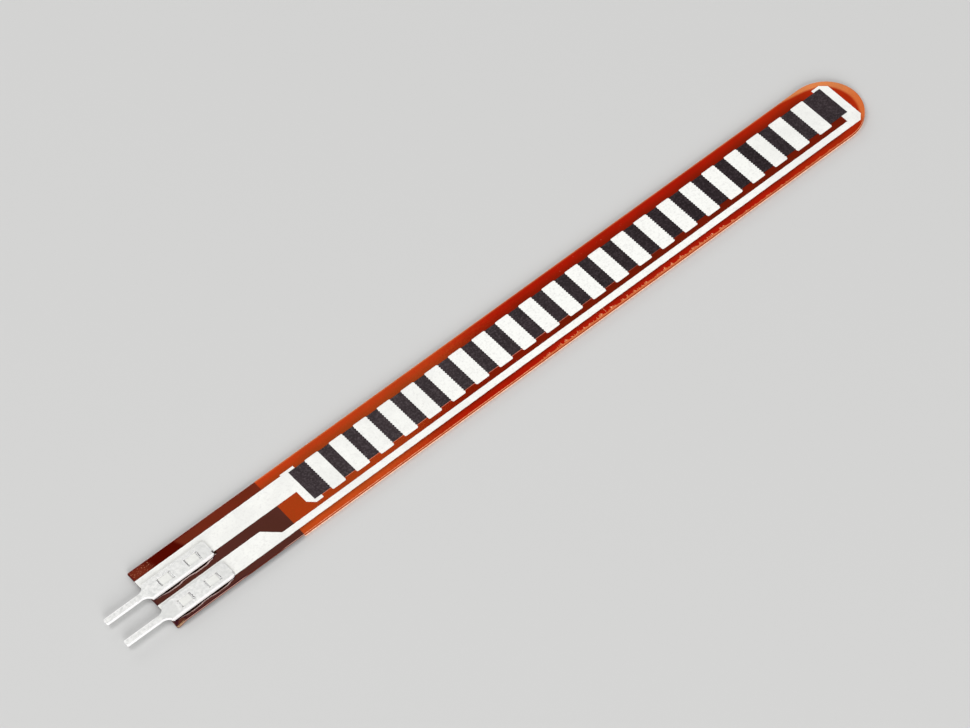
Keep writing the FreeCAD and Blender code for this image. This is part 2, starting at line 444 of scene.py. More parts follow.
def multiply(tree, *values):
    result = values[0]
    for value in values[1:]:
        result = mathNode(tree, "MULTIPLY", result, value)
    return result


def larger(tree, a, b):
    return mathNode(tree, "MAXIMUM", a, b)


def splitPlace(tree):
    # The three object coordinates, in millimetres
    parts = tree.nodes.new("ShaderNodeSeparateXYZ")
    tree.links.new(placeInMm(tree), parts.inputs[0])
    return [parts.outputs[axis] for axis in "XYZ"]


def splitNormal(tree):
    shape = tree.nodes.new("ShaderNodeNewGeometry")
    parts = tree.nodes.new("ShaderNodeSeparateXYZ")
    tree.links.new(shape.outputs["Normal"], parts.inputs[0])
    return [parts.outputs[axis] for axis in "XYZ"]


def amberBody(tree, look, at, x, y, speckle, cloud, doubled):
    # The broad face: bright red where two films lie together, dark brown where there is only one
    farStrip = ramp(tree, y, *at["farStrip"])

    # The bare lane between pads and thin trace is shaded by the print on both its sides
    lane = multiply(
        tree, bandMask(tree, y, *at["lane"], 0.10), ramp(tree, x, *at["laneDarker"], 0.50, 0.96, False),
        ramp(tree, x, carbonHigh[0] + 0.05, carbonHigh[0] + 0.35, 1, 0))
    nearTail = multiply(tree, ramp(tree, x, *at["tailWarmer"]), ramp(tree, y, *at["nearStrip"]))
    warm = mixColour(tree, ramp(tree, x, *at["tipWarmer"]), look["double"], look["doubleTip"])
    warm = mixColour(tree, nearTail, warm, look["doubleTail"])
    red = mixColour(tree, lane, warm, look["lane"])
    besidePads = multiply(
        tree, ramp(tree, y, *at["padShade"]), ramp(tree, y, *at["padShadeEnds"], 1, 0), 0.70)
    besideTrace = multiply(
        tree, ramp(tree, y, *at["traceShade"]), ramp(tree, y, *at["traceShadeEnds"]), 0.80)
    onStrip = ramp(tree, x, carbonHigh[0] - 2.5, carbonHigh[0], 1, 0)
    red = mixColour(tree, multiply(tree, larger(tree, besidePads, besideTrace), onStrip), red, look["lane"])

    # Painted highlight: a pale crescent round the far side of the tip, which runs on as a thin line along the
    # far edge
    shiftX, lineShift, crescentShift = at["tipCentre"]
    overX = mathNode(tree, "SUBTRACT", x, filmHigh[0] - filmHigh[1] - shiftX)
    overX = larger(tree, overX, 0.0)
    widen = multiply(
        tree, ramp(tree, x, *at["crescentStarts"], lineShift, crescentShift),
        ramp(tree, x, *at["crescentThins"], 1, 0.3))
    acrossY = mathNode(tree, "ADD", y, widen)
    squares = mathNode(tree, "ADD", multiply(tree, overX, overX), multiply(tree, acrossY, acrossY))
    radius = mathNode(tree, "SQRT", squares)
    crescent = multiply(
        tree, ramp(tree, radius, filmHigh[1] - at["tipSoft"], filmHigh[1] + at["tipSoft"]),
        ramp(tree, y, *at["crescentSide"]))
    pale = mixColour(tree, ramp(tree, y, *at["crescentPaler"]), look["tipNear"], look["tip"])
    red = mixColour(tree, crescent, red, pale)

    # A thin raised line where the carbon ends on the film, painted pale as its highlight
    printEdgeHighlight = multiply(
        tree, bandMask(tree, y, carbonLow[1] - 0.040, carbonLow[1] - 0.005, 0.012),
        ramp(tree, x, carbonLow[0] + 0.4, carbonLow[0] + 0.8), ramp(tree, x, *at["printLineEnds"], 1, 0),
        ramp(tree, speckle, 0.3, 0.6, 0.5, 1.0))
    red = mixColour(tree, printEdgeHighlight, red, look["printEdgeHighlight"])

    # A soft bend in the tail turns one slanting patch of the far strip away from the light
    slope = at["patchSlope"]
    slant = mathNode(tree, "MULTIPLY_ADD", mathNode(tree, "SUBTRACT", y, 2.7), slope, x)
    wander = mathNode(tree, "MULTIPLY_ADD", cloud, 0.9, mathNode(tree, "SUBTRACT", slant, 0.45))
    patch = multiply(
        tree, farStrip, ramp(tree, wander, *at["patchTail"]), ramp(tree, slant, *at["patchFront"], 1, 0))
    brown = mixColour(tree, farStrip, look["single"], look["singleFar"])
    brown = mixColour(tree, patch, brown, look["singlePatch"])
    body = mixColour(tree, doubled, brown, red)
    tone = multiply(tree, ramp(tree, cloud, 0.3, 0.7, 0.90, 1.08), ramp(tree, speckle, 0.3, 0.7, 0.94, 1.06))
    shade = tree.nodes.new("ShaderNodeCombineColor")
    for channel in ("Red", "Green", "Blue"):
        tree.links.new(tone, shade.inputs[channel])
    return mixColour(tree, 1.0, body, shade.outputs["Color"], "MULTIPLY"), patch


def amberBurrs(tree, look, at, x, y, body, burrs):
    # Burrs left by the cutter stand along the near edge in peaks, with one loose hair
    ragged = tree.nodes.new("ShaderNodeTexNoise")
    ragged.noise_dimensions = "1D"
    for name, value in (("Scale", 1.7), ("Detail", 5.0), ("Roughness", 0.78)):
        ragged.inputs[name].default_value = value
    tree.links.new(x, ragged.inputs["W"])
    peaks = ramp(tree, ragged.outputs["Fac"], 0.43, 0.70)
    few = multiply(tree, bandMask(tree, x, *at["fewBurrs"], 0.5), 0.35)
    where = larger(tree, bandMask(tree, x, *at["burrs"], 5.0), few)
    height = multiply(tree, where, mathNode(tree, "MULTIPLY_ADD", peaks, *at["burrHeight"]))
    above = mathNode(tree, "SUBTRACT", mathNode(tree, "SUBTRACT", y, filmLow[1]), height)
    hair = multiply(
        tree, bandMask(tree, x, *at["hair"], 0.02), bandMask(tree, y, *at["hairAcross"], 0.03), 0.7)
    tips = multiply(
        tree, ramp(tree, burrs, 0.44, 0.60), ramp(tree, y, filmLow[1] + 0.10, filmLow[1] + 0.22, 0.3, 1))
    frayed = mixColour(tree, tips, look["fray"], look["fleck"])
    body = mixColour(tree, larger(tree, ramp(tree, above, 0.03, -0.03), hair), body, frayed)
    farFlecks = multiply(
        tree, bandMask(tree, y, 2.45, 2.95, 0.1), bandMask(tree, x, *at["farFlecks"], 3.0),
        ramp(tree, burrs, 0.68, 0.74, 0, 0.6))
    tailFlecks = multiply(
        tree, bandMask(tree, x, filmLow[0], at["tailFlecksEnd"], 0.8), ramp(tree, y, 2.3, 2.4),
        ramp(tree, burrs, 0.57, 0.68, 0, 0.34))
    return mixColour(tree, larger(tree, farFlecks, tailFlecks), body, look["rim"])


def amberEdges(tree, look, at, place, lean, body, doubled, speckle, burrs):
    x, y, z = place
    leanX, leanY, leanZ = lean
    # Painted shade in the hollows beside the terminals and in the gap beside the feed terminal's near corner;
    # their lips, which lean towards the far side, are painted pale as highlights
    beside = larger(tree, *(
        bandMask(tree, y, middle - bodyHalf - 0.30, middle - bodyHalf + 0.30, 0.02) for middle in terminalY))
    hollowShade = multiply(
        tree, beside, ramp(tree, z, filmHigh[2] - 0.022, filmHigh[2] - 0.050),
        bandMask(tree, x, -32.2, terminalEnd - 0.3, 0.3))
    gap = multiply(
        tree, bandMask(tree, x, terminalEnd - 0.04, terminalEnd + 0.14, 0.05),
        bandMask(tree, y, 0.02, 0.26, 0.04))
    body = mixColour(tree, larger(tree, hollowShade, gap), body, look["hollowShade"])
    lipHighlight = multiply(
        tree, ramp(tree, leanY, 0.18, 0.32), ramp(tree, doubled, 0.9, 0.1),
        ramp(tree, x, *at["lipFades"], 0.35, 1.0), ramp(tree, y, -2, -1, 0.70, 1.0))
    body = mixColour(tree, lipHighlight, body, look["lipHighlight"])

    # Rims and walls of the cut edge, in painted light: rims that face the near side are painted pale as
    # highlights, plainer along some stretches, and those that face the far side darker
    edge = useGroup(tree, cutEdge)
    nearSide = ramp(tree, leanY, -0.10, -0.30)
    plain = multiply(tree, ramp(tree, x, *at["plainRim"]), ramp(tree, x, *at["plainRimEnds"], 1, 0), 0.85)
    rim = mixColour(tree, ramp(tree, speckle, 0.35, 0.7), look["rimDark"], look["rim"])
    rim = mixColour(tree, plain, rim, look["wall"])
    rim = mixColour(tree, bandMask(tree, x, *at["frayedRim"], 5.0), rim, look["fray"])
    rim = mixColour(tree, nearSide, look["rimFar"], rim)
    # Painted shade: the single film's near rim loses its highlight along one stretch
    singleRim = mixColour(tree, bandMask(tree, x, *at["shadedRim"], 0.7), look["singleRim"], look["singleWall"])
    singleRim = mixColour(tree, nearSide, look["singleRimFar"], singleRim)
    body = mixColour(tree, edge.outputs["Rim"], body, mixColour(tree, doubled, singleRim, rim))
    wall = mixColour(tree, doubled, look["singleWall"], look["wall"])
    body = mixColour(tree, edge.outputs["Wall"], body, wall)
    # Painted shade on the end walls that face -X
    body = mixColour(tree, ramp(tree, leanX, -0.35, -0.6), body, look["endWall"])
    # Painted highlight on the curled near corner of the tail
    corner = multiply(
        tree, ramp(tree, x, *at["cornerReach"]), ramp(tree, y, filmLow[1] + 0.17, filmLow[1] + 0.12),
        ramp(tree, burrs, 0.40, 0.56, 0.15, 1.0), ramp(tree, leanZ, 0.3, 0.6))
    return mixColour(tree, corner, body, look["corner"])


def amberFinish(look, at):
    material, tree, shader = newMaterial("amberFilm")
    shader.inputs["Specular Tint"].default_value = (*look["tint"], 1)
    grain = useGroup(tree, inkGrain, Fine=9.0, Broad=0.35)
    speckle, cloud = grain.outputs["Speckle"], grain.outputs["Cloud"]
    burrs = useGroup(tree, inkGrain, Fine=8.0, Broad=1.7).outputs["Speckle"]
    place = splitPlace(tree)
    x, y = place[:2]
    skewed = mathNode(tree, "MULTIPLY_ADD", y, -0.02, x)
    doubled = ramp(tree, skewed, backingLow[0] - 0.02, backingLow[0] + 0.02)
    body, patch = amberBody(tree, look, at, x, y, speckle, cloud, doubled)
    body = amberBurrs(tree, look, at, x, y, body, burrs)
    body = amberEdges(tree, look, at, place, splitNormal(tree), body, doubled, speckle, burrs)
    tree.links.new(body, shader.inputs["Base Color"])

    single = mathNode(tree, "MULTIPLY_ADD", patch, -look["shineSingle"], look["shineSingle"])
    shine = tree.nodes.new("ShaderNodeMix")
    tree.links.new(doubled, shine.inputs[0])
    tree.links.new(single, shine.inputs[2])
    shine.inputs[3].default_value = look["shineDouble"]
    tree.links.new(shine.outputs[0], shader.inputs["Specular IOR Level"])
    tree.links.new(ramp(tree, speckle, 0.2, 0.8, *look["roughness"]), shader.inputs["Roughness"])
    addBump(tree, shader, speckle, 0.0006)
    return material


backLook = {
    "face": (0.30, 0.012, 0.002),
    "edgeDark": (0.44, 0.095, 0.032),
    "edgePale": (1.0, 0.70, 0.54),
    "paleBelow": 0.165,
}

glueLook = {
    "face": (0.16, 0.03, 0.01),
    "edgeDark": (0.30, 0.07, 0.025),
    "edgePale": (0.40, 0.12, 0.05),
    "paleBelow": 0.0,
}


def layerFinish(name, look):
    # The films below: mostly seen as a cut edge, with a clouded face underneath
    material, tree, shader = newMaterial(name, Specular_IOR_Level=0.6)
    shader.inputs["Specular Tint"].default_value = (*filmLook["tint"], 1)
    grain = useGroup(tree, inkGrain, Fine=9.0, Broad=0.35)
    speckle, cloud = grain.outputs["Speckle"], grain.outputs["Cloud"]
    edge = useGroup(tree, cutEdge)
    cloudy = mixColour(tree, ramp(tree, cloud, 0.3, 0.7), look["face"], tuple(0.8 * c for c in look["face"]))
    z = splitPlace(tree)[2]
    # Painted highlight: the cut edge is pale below a set height, in patches
    low = ramp(tree, z, look["paleBelow"], look["paleBelow"] - 0.03)
    patchy = ramp(tree, speckle, 0.30, 0.62, 0.55, 1.0)
    rim = mixColour(tree, multiply(tree, low, patchy), look["edgeDark"], look["edgePale"])
    tree.links.new(mixColour(tree, edge.outputs["Rim"], cloudy, rim), shader.inputs["Base Color"])
    tree.links.new(ramp(tree, speckle, 0.2, 0.8, 0.12, 0.3), shader.inputs["Roughness"])
    addBump(tree, shader, speckle, 0.001)
    return material


silverLook = {
    "dark": (0.815, 0.815, 0.785),
    "pale": (0.875, 0.875, 0.84),
    "middle": (0.905, 0.905, 0.87),
    "middlePlace": (0, 22),
    "patchy": (0.76, 0.755, 0.73),
    "raised": (0.745, 0.745, 0.715),
    "meshPitch": 0.21,
}


def silverFinish(look):
    material, tree, shader = newMaterial("silverInk", Specular_IOR_Level=0.3)
    grain = useGroup(tree, inkGrain, Fine=16.0, Broad=0.5)
    coarse = useGroup(tree, inkGrain, Fine=6.0, Broad=1.4).outputs["Speckle"]
    mesh = useGroup(tree, screenMesh, Pitch=look["meshPitch"], Turn=0.42)
    place = splitPlace(tree)
    x, z = place[0], place[2]
    pale = mixColour(tree, ramp(tree, grain.outputs["Cloud"], 0.35, 0.65), look["dark"], look["pale"])
    pale = mixColour(tree, bandMask(tree, x, *look["middlePlace"], 8), pale, look["middle"])
    patchy = mixColour(tree, ramp(tree, coarse, 0.45, 0.75), pale, look["patchy"])
    # What swells up in the windows of the terminals is duller
    raised = multiply(
        tree, ramp(tree, z, filmHigh[2] + 0.06, filmHigh[2] + 0.10),
        ramp(tree, coarse, 0.30, 0.60, 0.65, 1.0))
    patchy = mixColour(tree, raised, patchy, look["raised"])
    tree.links.new(patchy, shader.inputs["Base Color"])
    tree.links.new(ramp(tree, grain.outputs["Speckle"], 0.2, 0.8, 0.42, 0.62), shader.inputs["Roughness"])
    height = mathNode(tree, "MULTIPLY_ADD", mesh.outputs["Height"], 0.35, grain.outputs["Speckle"])
    addBump(tree, shader, height, 0.004, 0.6)
    return material


carbonLook = {
    "dark": (0.014, 0.007, 0.009),
    "pale": (0.023, 0.013, 0.016),
    "fleck": (0.060, 0.045, 0.050),
    "away": (0.62, 0.57, 0.60),
    "awayStarts": (-10, 18),
    "awayEnds": (27, 31),
    "meshPitch": 0.23,
}


def carbonFinish(look):
    material, tree, shader = newMaterial("carbonInk")
    grain = useGroup(tree, inkGrain, Fine=14.0, Broad=0.25)
    coarse = useGroup(tree, inkGrain, Fine=6.5, Broad=1.2).outputs["Speckle"]
    mesh = useGroup(tree, screenMesh, Pitch=look["meshPitch"], Turn=0.35)
    x = splitPlace(tree)[0]
    tone = mixColour(tree, ramp(tree, grain.outputs["Cloud"], 0.3, 0.7), look["dark"], look["pale"])
    flecked = mixColour(tree, ramp(tree, coarse, 0.42, 0.72), tone, look["fleck"])
    # The middle of the strip lies further from the light
    away = multiply(tree, ramp(tree, x, *look["awayStarts"]), ramp(tree, x, *look["awayEnds"], 1, 0.45))
    dimmed = mixColour(tree, 1.0, flecked, look["away"], "MULTIPLY")
    tree.links.new(mixColour(tree, away, flecked, dimmed), shader.inputs["Base Color"])
    tree.links.new(mathNode(tree, "MULTIPLY_ADD", away, -0.10, 0.25), shader.inputs["Specular IOR Level"])
    tree.links.new(ramp(tree, grain.outputs["Speckle"], 0.2, 0.8, 0.48, 0.7), shader.inputs["Roughness"])
    height = mathNode(tree, "MULTIPLY_ADD", mesh.outputs["Height"], 0.4, grain.outputs["Speckle"])
    addBump(tree, shader, height, 0.005, 0.7)
    return material


tinLook = {
    "dark": (0.70, 0.705, 0.695),
    "pale": (0.87, 0.87, 0.86),
    "patchy": (0.60, 0.60, 0.59),
    "paintedEdgeHighlight": (0.97, 0.955, 0.955),
    "creaseShade": (0.055, 0.045, 0.050),
    "bend": (0.30, 0.295, 0.29),
    "metallic": 0.55,
    "edgeMetallic": 0.12,
    "bodyDulls": (-31, -27.4),
    "windowHalf": (0.62, 0.385),
    "creasePlace": 0.58,
    # Window by window the creases differ: terminal, window, side and how much is missing
    "faintCreases": [("return", 0, -1, 0.95), ("return", 1, -1, 0.60), ("feed", 0, 1, 0.60)],
}


def tinCreases(tree, look, x, reach, aside, inBody, onTerminal, along, coarse):
    # Painted shade: short dark marks where the tines start to turn down, some of them faint
    wander = mathNode(tree, "SUBTRACT", reach, 0.11)
    wander = mathNode(tree, "MULTIPLY_ADD", coarse.outputs["Speckle"], 0.22, wander)
    depth = mathNode(tree, "ADD", coarse.outputs["Cloud"], ramp(tree, along, -0.1, 0.1, 0, 0.14))
    middle = look["creasePlace"]
    creaseShade = multiply(
        tree, bandMask(tree, wander, middle - 0.02, middle + 0.02, 0.016),
        ramp(tree, aside, 0.31, 0.25), inBody, ramp(tree, depth, 0.40, 0.50))
    for terminal, window, side, missing in look["faintCreases"]:
        place = windowX[window] + middle * side
        nearby = bandMask(tree, x, place - 0.2, place + 0.2, 0.05)
        faint = multiply(tree, nearby, onTerminal[terminal], missing)
        creaseShade = multiply(tree, creaseShade, mathNode(tree, "SUBTRACT", 1.0, faint))
    return creaseShade


def tinFinish(look):
    material, tree, shader = newMaterial("tinPlate")
    grain = useGroup(tree, inkGrain, Fine=11.0, Broad=1.1).outputs["Speckle"]
    coarse = useGroup(tree, inkGrain, Fine=3.4, Broad=0.7)
    edge = useGroup(tree, cutEdge, Softness=0.25)
    x, y = splitPlace(tree)[:2]
    tone = mixColour(tree, ramp(tree, coarse.outputs["Speckle"], 0.30, 0.68), look["dark"], look["pale"])
    tone = mixColour(tree, ramp(tree, grain, 0.6, 0.8), tone, look["patchy"])
    tone = mixColour(tree, ramp(tree, x, *look["bodyDulls"], 0, 0.5), tone, look["dark"])

    # Counted from the nearest window's middle along, and the nearest terminal's middle across
    halfPitch = terminalPitch / 2
    along = mathNode(tree, "SUBTRACT", x, windowX[0])
    along = mathNode(tree, "WRAP", along, windowPitch / 2, -windowPitch / 2)
    across = mathNode(tree, "SUBTRACT", y, terminalY[0])
    across = mathNode(tree, "WRAP", across, halfPitch, -halfPitch)
    reach = mathNode(tree, "ABSOLUTE", along)
    aside = mathNode(tree, "ABSOLUTE", across)
    inBody = bandMask(tree, x, windowX[0] - 0.8, windowX[1] + 0.8, 0.05)

    # The return terminal's shoulder is duller than the other
    onFeed = ramp(tree, y, terminalY[0] + halfPitch - 0.01, terminalY[0] + halfPitch + 0.01)
    onReturn = mathNode(tree, "SUBTRACT", 1.0, onFeed)
    shoulder = multiply(tree, bandMask(tree, x, filmLow[0] - 0.3, filmLow[0] + 0.7, 0.4), onReturn, 0.75)
    tone = mixColour(tree, shoulder, tone, look["dark"])

    # Painted highlight: edges that face the near side, and both edges of the pins, are painted pale and made
    # less metallic
    facing = multiply(tree, edge.outputs["Rim"], edge.outputs["Near"])
    rolled = larger(tree, ramp(tree, across, -bodyHalf + 0.20, -bodyHalf + 0.10), facing)
    pinEdge = multiply(tree, ramp(tree, aside, 0.17, 0.25), ramp(tree, x, filmLow[0] - 0.8, filmLow[0] - 1.1))
    paintedEdgeHighlight = larger(tree, rolled, pinEdge)
    tone = mixColour(tree, multiply(tree, paintedEdgeHighlight, 0.75), tone, look["paintedEdgeHighlight"])

    # Inside a window the tines turn down; painted shade darkens the bent faces that lean towards -X, and the
    # crease where the bend starts
    windowLong, windowWide = look["windowHalf"]
    inWindow = multiply(
        tree, ramp(tree, reach, windowLong + 0.02, windowLong - 0.02),
        ramp(tree, aside, windowWide + 0.015, windowWide - 0.015), inBody)
    bend = multiply(tree, inWindow, ramp(tree, splitNormal(tree)[0], -0.10, -0.55), 0.62)
    tone = mixColour(tree, bend, tone, look["bend"])
    onTerminal = {"feed": onFeed, "return": onReturn}
    creaseShade = tinCreases(tree, look, x, reach, aside, inBody, onTerminal, along, coarse)

    # Painted shadow: a dark spot in the near corner of each body, fainter on the return side
    cornerShadow = multiply(
        tree, bandMask(tree, x, terminalEnd - 0.13, terminalEnd + 0.05, 0.03),
        bandMask(tree, across, -0.66, -0.42, 0.03), ramp(tree, y, -1, 0, 0.35, 1.0))
    creaseShade = larger(tree, creaseShade, cornerShadow)
    tone = mixColour(tree, creaseShade, tone, look["creaseShade"])

    tree.links.new(tone, shader.inputs["Base Color"])
    lost = look["edgeMetallic"] - look["metallic"]
    metal = mathNode(tree, "MULTIPLY_ADD", paintedEdgeHighlight, lost, look["metallic"])
    bare = mathNode(tree, "SUBTRACT", 1.0, creaseShade)
    tree.links.new(multiply(tree, metal, bare), shader.inputs["Metallic"])
    tree.links.new(ramp(tree, grain, 0.2, 0.8, 0.36, 0.50), shader.inputs["Roughness"])
    height = mathNode(tree, "MULTIPLY_ADD", coarse.outputs["Speckle"], 2.5, grain)
    addBump(tree, shader, height, 0.007, 0.7)
    return material


backingLow = nodeBox("backing_film")[0]
filmLow, filmHigh = nodeBox("base_film")
carbonLow, carbonHigh = nodeBox("carbon_strip")
terminalY = [sum(v[1] for v in nodeBox(node)) / 2 for node in ("return_terminal", "feed_terminal")]
terminalPitch = terminalY[1] - terminalY[0]
bodyHalf = 0.80          # half the width of a terminal's body

# Middles of the two windows of a terminal, counted back from its end
terminalEnd = nodeBox("feed_terminal")[1][0]
windowPitch = 2.52
lastWindow = 1.58
windowX = (terminalEnd - lastWindow - windowPitch, terminalEnd - lastWindow)

amberFilm = amberFinish(filmLook, filmPlaces)
backFilm = layerFinish("backFilm", backLook)
glueLine = layerFinish("glueLine", glueLook)
silverInk = silverFinish(silverLook)
carbonInk = carbonFinish(carbonLook)
tinPlate = tinFinish(tinLook)
print("finishes ready")


# Base film: the tail stands alone, is pierced by the terminals and dips beside them

baseFilm = {
    "node": "base_film",
    "tailGrid": 0.14,
    "fineGrid": 0.045,
    "fineRows": (0.36, 0.5),       # how far outside a terminal they start, and their width
    "tailEnd": -26.4,
    "rimRound": 0.055,
    "cornerSize": 0.16,
    "cornerCurl": 0.20,
    "cornerReach": 0.80,
    "dipDepth": 0.075,
    "dipWidth": 0.115,
    "dipSwing": 0.065,
    "dipFade": 0.9,
    "dipReach": 0.12,
    "nick": (-27.20, 0.06),
    "nickHalf": (0.09, 0.05),
    "nickDepth": 0.10,
    "nickReach": 0.11,
}


def cutAcross(piece, place, normal, low, high):
    # One straight cut through the faces whose middles lie inside the given bounds
    bpy.ops.object.mode_set(mode="OBJECT")
    for face in piece.data.polygons:
        face.select = all(low[k] < face.center[k] < high[k] for k in (0, 1))
    bpy.ops.object.mode_set(mode="EDIT")
    bpy.ops.mesh.bisect(plane_co=place, plane_no=normal)


def cutGrid(piece, p):
    # Squares across the tail, with finer rows beside the near edge of each terminal
    step, fineStep, xEnd = p["tailGrid"], p["fineGrid"], p["tailEnd"]
    outside, width = p["fineRows"]
    low, high = (filmLow[0] - 1, -9), (xEnd, 9)
    editMode(piece)
    bpy.ops.mesh.select_mode(type="FACE")
    bpy.ops.mesh.select_all(action="SELECT")
    bpy.ops.mesh.bisect(plane_co=(xEnd, 0, 0), plane_no=(1, 0, 0))
    for k in range(1, int((xEnd - filmLow[0]) / step)):
        cutAcross(piece, (filmLow[0] + k * step, 0, 0), (1, 0, 0), low, high)
    rows = [filmLow[1] + k * step for k in range(1, int((filmHigh[1] - filmLow[1]) / step))]
    for y in terminalY:
        rows += [y - bodyHalf - outside + k * fineStep for k in range(int(width / fineStep))]
    for y in rows:
        cutAcross(piece, (0, y, 0), (0, 1, 0), low, high)
    bpy.ops.object.mode_set(mode="OBJECT")


def press(piece, wanted, lift, reach):
    # Lifts or presses what passes the test, and softly what lies around it
    editMode(piece)
    if selectVertices(piece, wanted):
        bpy.ops.transform.translate(
            value=(0, 0, lift), use_proportional_edit=True,
            proportional_edit_falloff="SMOOTH", proportional_size=reach)
    bpy.ops.object.mode_set(mode="OBJECT")


def hollowWidth(x, p):
    # Widest beside each window, and running out at both ends of the terminal
    wave = math.cos(2 * math.pi * (x - windowX[0]) / (windowX[1] - windowX[0]))
    fade = min(1, (x - filmLow[0] - 0.05) / p["dipFade"], (terminalEnd - x) / p["dipFade"])
    return max(0, fade) * (p["dipWidth"] + p["dipSwing"] * wave)


def shapeTail(piece, p):
    # The same hollows for the film and for the ink printed on it
    for y in terminalY:
        edgeY = y - bodyHalf

        def inHollow(v):
            width = hollowWidth(v.x, p)
            return width > 0.02 and edgeY - width < v.y < edgeY + 0.2

        press(piece, inHollow, -p["dipDepth"], p["dipReach"])

    def inCorner(v):
        return v.x < filmLow[0] + p["cornerSize"] and v.y < filmLow[1] + p["cornerSize"]

    def inNick(v):
        return all(abs(v[k] - p["nick"][k]) < p["nickHalf"][k] for k in (0, 1))

    press(piece, inCorner, -p["cornerCurl"], p["cornerReach"])
    press(piece, inNick, -p["nickDepth"], p["nickReach"])


def addBevel(piece, width, segments, angle=30):
    pick(piece)
    bevel = piece.modifiers.new("softEdge", "BEVEL")
    bevel.width = width
    bevel.segments = segments
    bevel.limit_method = "ANGLE"
    bevel.angle_limit = math.radians(angle)
    bevel.use_clamp_overlap = True
    bpy.ops.object.modifier_apply(modifier=bevel.name)


def buildBaseFilm(p):
    piece = cadCopy(p["node"], "baseFilm")
    addBevel(piece, p["rimRound"], 3)
    cutGrid(piece, p)
    shapeTail(piece, p)
    finishPiece(piece, p["node"], amberFilm)


buildBaseFilm(baseFilm)
print("base film ready")


# Backing film: die-cut with the base, its cut edge slightly rolled

backingFilm = {"node": "backing_film", "rimRound": 0.04}


def buildBackingFilm(p):
    piece = cadCopy(p["node"], "backingFilm")
    addBevel(piece, p["rimRound"], 3)
    finishPiece(piece, p["node"], backFilm)


buildBackingFilm(backingFilm)
print("backing film ready")


# Printed traces: the screen's mesh leaves their edges slightly ragged

traces = {
    "nodes": {"returnTrace": "return_trace", "feedTrace": "feed_trace"},
    "stitch": 0.16,
    "ragged": 0.035,
    "raggedSize": 0.16,
    "raggedPlace": 5.0,
    "softEdge": 0.006,
    "pillow": (0.70, 0.73, 0.185),
    "pillowCuts": 7,
    "pillowFlare": 1.30,
    "pillowRound": 0.085,
    "crownHalf": 0.12,
    "crownLift": 0.022,
    "crownReach": 0.34,
}


def buildPillow(p):
    # Film and ink swell up between the two tines of a window; one is modelled, at the origin
    deselectAll()
    bpy.ops.mesh.primitive_cube_add(size=1)
    pillow = bpy.context.object
    pillow.name = "pillowMaster"
    pillow.scale = p["pillow"]
    bpy.ops.object.transform_apply(location=False, rotation=False, scale=True)
    editMode(pillow)
    bpy.ops.mesh.select_all(action="SELECT")
    bpy.ops.mesh.subdivide(number_cuts=p["pillowCuts"])
    bpy.ops.object.mode_set(mode="OBJECT")
    topZ = p["pillow"][2] / 2
    editMode(pillow)
    selectVertices(pillow, lambda v: v.z > -topZ * 0.3)
    bpy.ops.transform.resize(value=(p["pillowFlare"], 1, 1))
    bpy.ops.object.mode_set(mode="OBJECT")

    def inCrown(v):
        return v.z > topZ - 0.001 and v.length < p["crownHalf"]

    press(pillow, inCrown, p["crownLift"], p["crownReach"])
    addBevel(pillow, p["pillowRound"], 3)
    return pillow


def joinPillows(piece, y, p):
    master = buildPillow(p)
    copies = []
    for x in windowX:
        pillow = bpy.data.objects.new("pillow", master.data.copy())
        bpy.context.collection.objects.link(pillow)
        pillow.location = (x, y, filmHigh[2] + p["pillow"][2] / 2)
        copies.append(pillow)
    pick(master)
    bpy.ops.object.delete()
    pick(piece)
    for pillow in copies:
        pillow.select_set(True)
    bpy.ops.object.join()


def splitOutline(piece, longest):
    # Puts points along every long level edge, so that the outline can wander
    editMode(piece)
    for cuts in (63, 31, 15, 7, 3, 1):
        low = longest * (cuts + 1)

        def wanted(a, b):
            return abs(a.z - b.z) < 0.002 and low <= (a - b).length

        if selectEdges(piece, wanted):
            bpy.ops.mesh.subdivide(number_cuts=cuts, ngon=True)
    bpy.ops.object.mode_set(mode="OBJECT")


def roughen(piece, p, wanted):
    # Moves the outline's points a little each way, the same at top and bottom
    group = piece.vertex_groups.new(name="outline")
    group.add([v.index for v in piece.data.vertices if wanted(v.co)], 1.0, "REPLACE")
    pick(piece)
    for axis, across in (("X", 3.7), ("Y", 9.1)):
        texture = bpy.data.textures.new("edgeNoise" + axis, "CLOUDS")
        texture.noise_scale = p["raggedSize"]
        texture.noise_depth = 1
        shift = bpy.data.objects.new("noisePlace", None)
        bpy.context.collection.objects.link(shift)
        shift.location = (p["raggedPlace"], across, 1.3)
        bpy.context.view_layer.update()
        displace = piece.modifiers.new("ragged" + axis, "DISPLACE")
        displace.texture = texture
        displace.texture_coords = "OBJECT"
        displace.texture_coords_object = shift
        displace.direction = axis
        displace.vertex_group = "outline"
        displace.mid_level = 0.5
        displace.strength = p["ragged"]
        pick(piece)
        bpy.ops.object.modifier_apply(modifier=displace.name)
        bpy.data.objects.remove(shift)
        bpy.data.textures.remove(texture)
    piece.vertex_groups.clear()


def buildTrace(name, node, terminalMiddle, p):
    piece = cadCopy(node, name)
    splitOutline(piece, p["stitch"])
    roughen(piece, p, lambda v: v.x > filmLow[0] + 0.02)
    cutGrid(piece, baseFilm)
    shapeTail(piece, baseFilm)
    addBevel(piece, p["softEdge"], 1)
    joinPillows(piece, terminalMiddle, p)
    finishPiece(piece, node, silverInk)


for (name, node), middle in zip(traces["nodes"].items(), terminalY):
    buildTrace(name, node, middle, traces)
print("traces ready")


# Carbon strip

carbonStrip = {
    "node": "carbon_strip",
    "stitch": 0.12,
    "ragged": 0.025,
    "raggedSize": 0.12,
    "raggedPlace": 2.0,
    "softEdge": 0.006,
}


